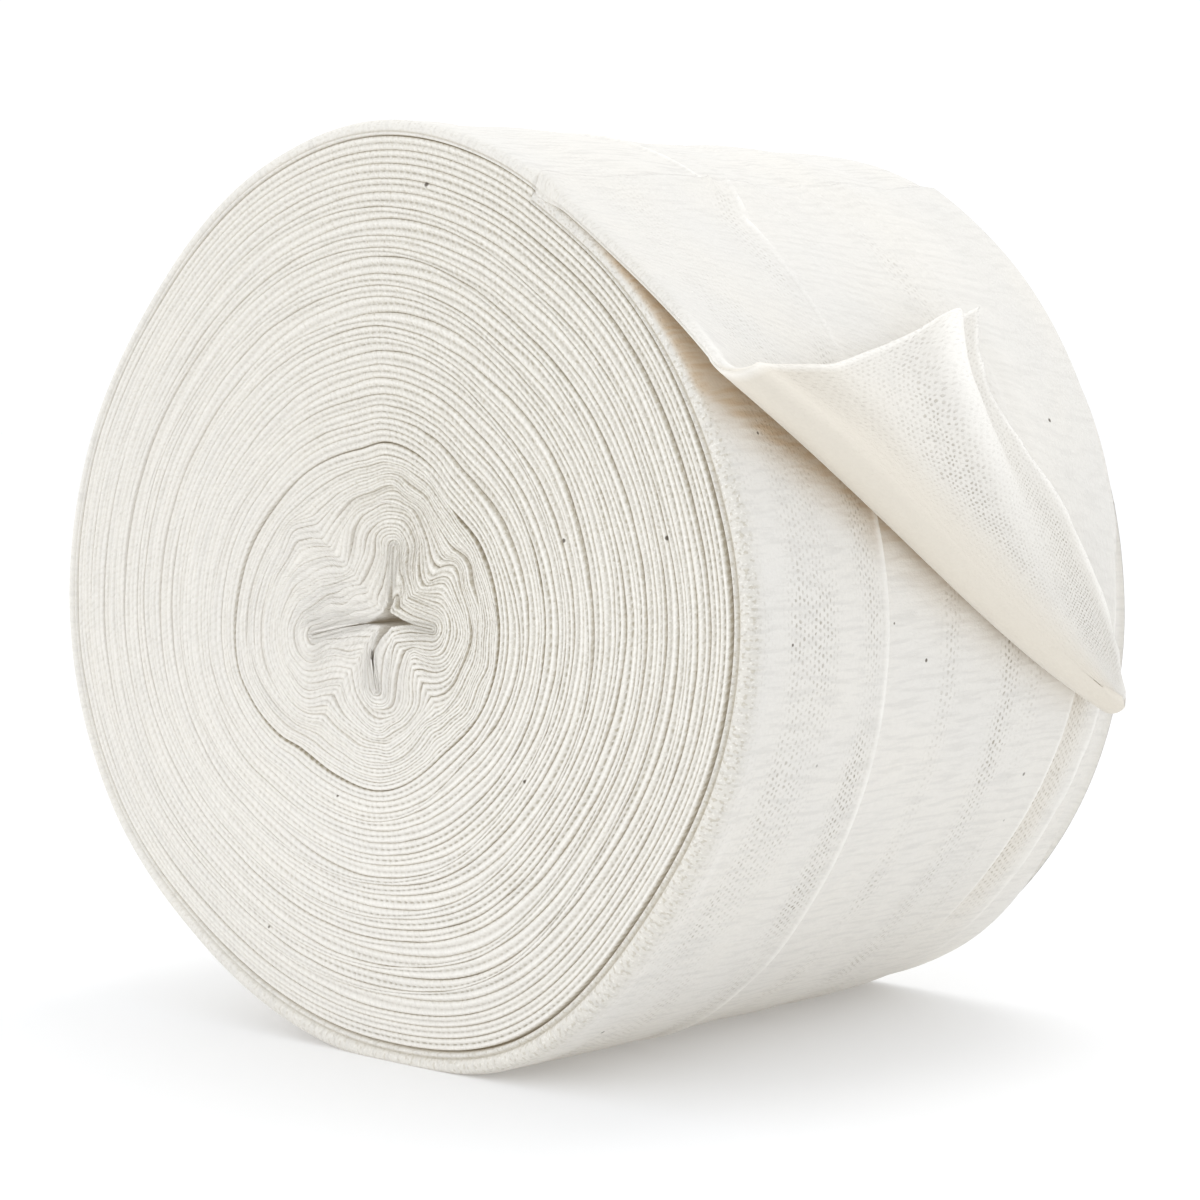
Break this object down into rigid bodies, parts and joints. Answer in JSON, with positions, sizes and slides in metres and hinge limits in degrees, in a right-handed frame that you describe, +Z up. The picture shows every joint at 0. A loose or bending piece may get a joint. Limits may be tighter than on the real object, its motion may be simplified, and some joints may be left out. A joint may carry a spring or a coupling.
{
  "type": "tubular gauze bandage roll",
  "caption": "Cream cotton tubular gauze bandage wound flat into a wide roll, its crushed core showing as a small four-armed slit and the free end turned back over one corner.",
  "frame": {"origin": "middle of the small flat spot the roll rests on, halfway along the roll", "axes": "+Y runs along the roll's axis away from the face with the free corner, +X points to the side where the free end hangs, +Z is up"},
  "size_m": [0.1534, 0.1003, 0.1437],
  "materials": {
    "gauze": "matt unbleached cotton knit",
    "gauze_end": "matt unbleached cotton knit, open stitches"
  },
  "bodies": {
    "root": {"wound_roll": "gauze", "loose_end": "gauze_end"}
  },
  "joints": []
}
